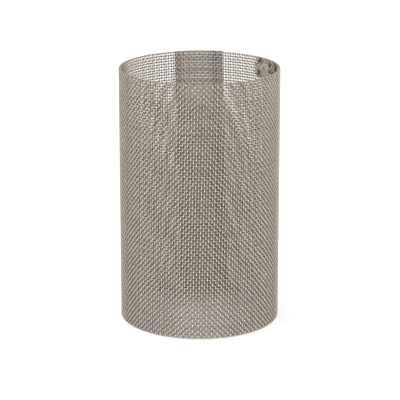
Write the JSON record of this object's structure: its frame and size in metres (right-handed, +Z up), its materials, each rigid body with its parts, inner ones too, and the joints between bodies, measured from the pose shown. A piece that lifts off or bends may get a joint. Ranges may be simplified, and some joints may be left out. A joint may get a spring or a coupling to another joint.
{
  "type": "filter screen",
  "caption": "Open tube rolled from plain-woven steel wire cloth and closed by a lap seam along its length; a cylindrical filter screen that fits over or inside a perforated core.",
  "frame": {"origin": "centre of the bore in the plane of the lower rim", "axes": "+Z up along the tube's axis, +Y towards the lap seam at the back"},
  "size_m": [0.0498, 0.0505, 0.0797],
  "materials": {
    "wire_cloth": "dull woven stainless steel wire, slightly warm and stained"
  },
  "bodies": {
    "root": {"mesh_tube": "wire_cloth"}
  },
  "joints": []
}
